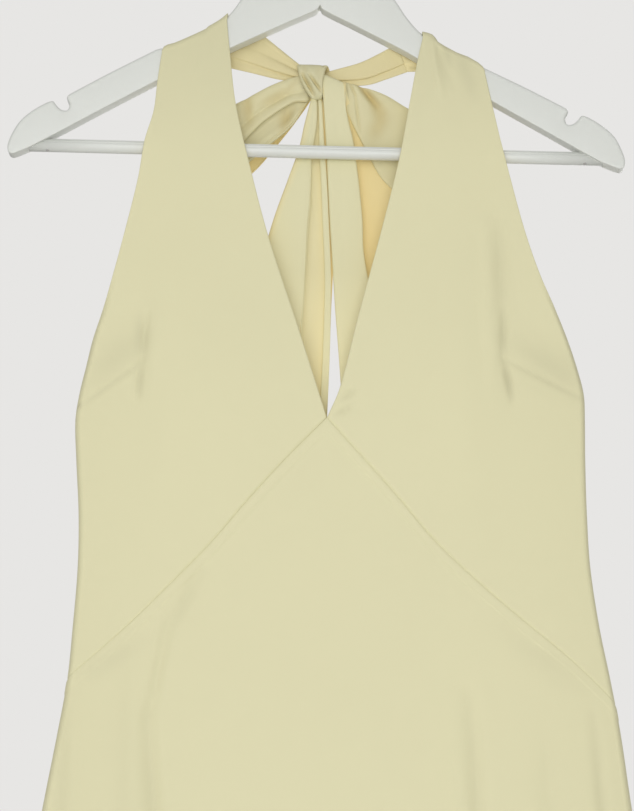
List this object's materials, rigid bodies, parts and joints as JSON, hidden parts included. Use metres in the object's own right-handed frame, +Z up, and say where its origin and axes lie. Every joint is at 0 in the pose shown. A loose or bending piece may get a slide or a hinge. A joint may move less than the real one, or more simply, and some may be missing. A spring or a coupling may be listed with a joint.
{
  "type": "halter dress on a hanger",
  "caption": "Sleeveless halter dress with a deep V neck, diagonal under-bust seams and a bow tied behind the neck, hung on a grooved-bar wooden hanger.",
  "frame": {"origin": "inside top of the hook, where a rail or peg holds the hanger", "axes": "+Z up, -Y the front of the dress, +X to the right seen from the front"},
  "size_m": [0.6434, 0.1034, 1.4539],
  "materials": {
    "cloth": "pale butter-yellow satin-backed crepe, matt side out",
    "painted_wood": "white painted wood, satin",
    "hook_steel": "plated steel wire"
  },
  "bodies": {
    "root": {"front_skirt": "cloth", "back_panel": "cloth", "front_bodice_left": "cloth", "front_bodice_right": "cloth", "neck_band_left": "cloth", "neck_band_right": "cloth", "tie_knot": "cloth", "bow_loop_left": "cloth", "bow_loop_right": "cloth", "tie_tail_left": "cloth", "tie_tail_right": "cloth", "hanger_body": "painted_wood", "hanger_bar": "painted_wood", "hanger_hook": "hook_steel"}
  },
  "joints": []
}
